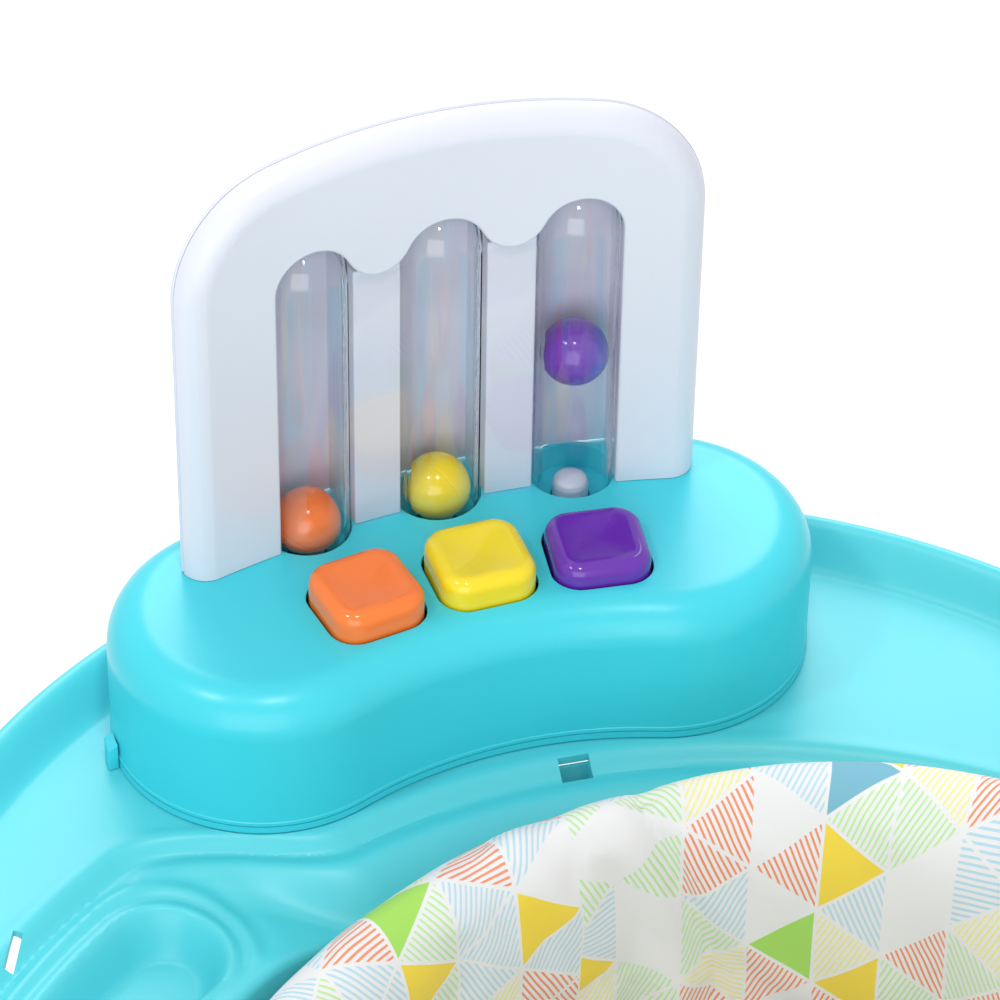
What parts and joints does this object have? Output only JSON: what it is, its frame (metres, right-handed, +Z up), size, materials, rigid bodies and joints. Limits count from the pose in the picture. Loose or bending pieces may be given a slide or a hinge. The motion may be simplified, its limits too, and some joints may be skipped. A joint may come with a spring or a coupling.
{
  "type": "activity jumper",
  "caption": "Stationary baby jumper: a lobed tray on legs, a sprung swivelling fabric seat, and a ball popper whose buttons fling balls up clear tubes.",
  "frame": {"origin": "on the floor, under the middle of the tray's bounding box", "axes": "+Z up, +Y from the seat towards the ball popper, +X to the right of someone facing the popper from the seat"},
  "size_m": [0.7652, 0.737, 0.666],
  "materials": {
    "turquoise_plastic": "satin moulded plastic",
    "white_plastic": "satin moulded plastic",
    "white_steel": "powder coated",
    "clear_plastic": "clear and polished",
    "orange_plastic": "gloss",
    "yellow_plastic": "gloss",
    "purple_plastic": "gloss",
    "steel": "zinc plated",
    "rubber": "matt",
    "seat_fabric": "woven, printed with triangles"
  },
  "bodies": {
    "root": {"tray": "turquoise_plastic", "popper_base_shell": "turquoise_plastic", "popper_base_floor": "turquoise_plastic", "popper_clip": "turquoise_plastic", "leg_socket_1": "turquoise_plastic", "leg_socket_2": "turquoise_plastic", "leg_socket_3": "turquoise_plastic", "foot_1": "turquoise_plastic", "foot_2": "turquoise_plastic", "foot_3": "turquoise_plastic", "spring_plug_1": "turquoise_plastic", "spring_plug_2": "turquoise_plastic", "spring_plug_3": "turquoise_plastic", "panel_front": "white_plastic", "panel_back": "white_plastic", "leg_1": "white_plastic", "leg_2": "white_plastic", "leg_3": "white_plastic", "spring_guard_1": "white_plastic", "spring_guard_2": "white_plastic", "spring_guard_3": "white_plastic", "tube_window": "clear_plastic", "popper_screw_left": "steel", "popper_screw_right": "steel", "rocker_pin_orange": "steel", "rocker_pin_yellow": "steel", "rocker_pin_purple": "steel", "return_spring_orange": "steel", "return_spring_yellow": "steel", "return_spring_purple": "steel", "spring_1": "steel", "spring_2": "steel", "spring_3": "steel", "foot_pad_1": "rubber", "foot_pad_2": "rubber", "foot_pad_3": "rubber"},
    "bounce_frame": {"bounce_ring": "white_steel", "hanger_arm_1": "white_steel", "hanger_arm_2": "white_steel", "hanger_arm_3": "white_steel", "spring_seat_1": "white_plastic", "spring_seat_2": "white_plastic", "spring_seat_3": "white_plastic"},
    "seat": {"seat_ring": "turquoise_plastic", "seat_ring_clip": "turquoise_plastic", "seat_collar": "seat_fabric", "seat_bucket": "seat_fabric"},
    "button_orange": {"button_orange": "orange_plastic"},
    "rocker_orange": {"rocker_orange": "white_plastic"},
    "plunger_orange": {"plunger_orange": "white_plastic"},
    "ball_orange": {"ball_orange": "orange_plastic"},
    "button_yellow": {"button_yellow": "yellow_plastic"},
    "rocker_yellow": {"rocker_yellow": "white_plastic"},
    "plunger_yellow": {"plunger_yellow": "white_plastic"},
    "ball_yellow": {"ball_yellow": "yellow_plastic"},
    "button_purple": {"button_purple": "purple_plastic"},
    "rocker_purple": {"rocker_purple": "white_plastic"},
    "plunger_purple": {"plunger_purple": "white_plastic"},
    "ball_purple": {"ball_purple": "purple_plastic"}
  },
  "joints": [
    {"name": "seat_bounce", "type": "slide", "parent": "root", "child": "bounce_frame", "axis": [0, 0, 1], "range_m": [-0.08, 0], "stiffness_N_per_m": 1500, "springref_m": 0.04, "deforming": ["spring_1", "spring_2", "spring_3"]},
    {"name": "seat_swivel", "type": "hinge", "parent": "bounce_frame", "child": "seat", "pos_m": [0, -0.0305, 0.334], "axis": [0, 0, 1], "continuous": true},
    {"name": "button_orange_press", "type": "slide", "parent": "root", "child": "button_orange", "axis": [0, 0, 1], "range_m": [-0.003, 0], "stiffness_N_per_m": 400, "springref_m": 0.002, "deforming": ["return_spring_orange"]},
    {"name": "rocker_orange_tilt", "type": "hinge", "parent": "root", "child": "rocker_orange", "pos_m": [-0.04459, 0.28678, 0.46], "axis": [0.9903, 0.1392, 0], "range_deg": [0, 12.8]},
    {"name": "plunger_orange_lift", "type": "slide", "parent": "root", "child": "plunger_orange", "axis": [0, 0, 1], "range_m": [0, 0.0083]},
    {"name": "ball_orange_pop", "type": "slide", "parent": "root", "child": "ball_orange", "axis": [0, 0, 1], "range_m": [0, 0.0545]},
    {"name": "button_yellow_press", "type": "slide", "parent": "root", "child": "button_yellow", "axis": [0, 0, 1], "range_m": [-0.003, 0], "stiffness_N_per_m": 400, "springref_m": 0.002, "deforming": ["return_spring_yellow"]},
    {"name": "rocker_yellow_tilt", "type": "hinge", "parent": "root", "child": "rocker_yellow", "pos_m": [0.0028, 0.28989, 0.46], "axis": [1, -0.0087, 0], "range_deg": [0, 12.8]},
    {"name": "plunger_yellow_lift", "type": "slide", "parent": "root", "child": "plunger_yellow", "axis": [0, 0, 1], "range_m": [0, 0.0083]},
    {"name": "ball_yellow_pop", "type": "slide", "parent": "root", "child": "ball_yellow", "axis": [0, 0, 1], "range_m": [0, 0.0545]},
    {"name": "button_purple_press", "type": "slide", "parent": "root", "child": "button_purple", "axis": [0, 0, 1], "range_m": [0, 0.003], "stiffness_N_per_m": 400, "springref_m": 0.005, "deforming": ["return_spring_purple"]},
    {"name": "rocker_purple_tilt", "type": "hinge", "parent": "root", "child": "rocker_purple", "pos_m": [0.05012, 0.28596, 0.46], "axis": [0.9877, -0.1564, 0], "range_deg": [-12.8, 0]},
    {"name": "plunger_purple_lift", "type": "slide", "parent": "root", "child": "plunger_purple", "axis": [0, 0, 1], "range_m": [-0.0083, 0]},
    {"name": "ball_purple_pop", "type": "slide", "parent": "root", "child": "ball_purple", "axis": [0, 0, 1], "range_m": [-0.0545, 0]}
  ],
  "couplings": [
    {"joint": "rocker_orange_tilt", "follows": "button_orange_press", "rad_per_m": -74.4},
    {"joint": "plunger_orange_lift", "follows": "button_orange_press", "ratio": -2.765},
    {"joint": "ball_orange_pop", "follows": "button_orange_press", "ratio": -18.15},
    {"joint": "rocker_yellow_tilt", "follows": "button_yellow_press", "rad_per_m": -74.4},
    {"joint": "plunger_yellow_lift", "follows": "button_yellow_press", "ratio": -2.765},
    {"joint": "ball_yellow_pop", "follows": "button_yellow_press", "ratio": -18.15},
    {"joint": "rocker_purple_tilt", "follows": "button_purple_press", "rad_per_m": -74.4},
    {"joint": "plunger_purple_lift", "follows": "button_purple_press", "ratio": -2.765},
    {"joint": "ball_purple_pop", "follows": "button_purple_press", "ratio": -18.15}
  ]
}
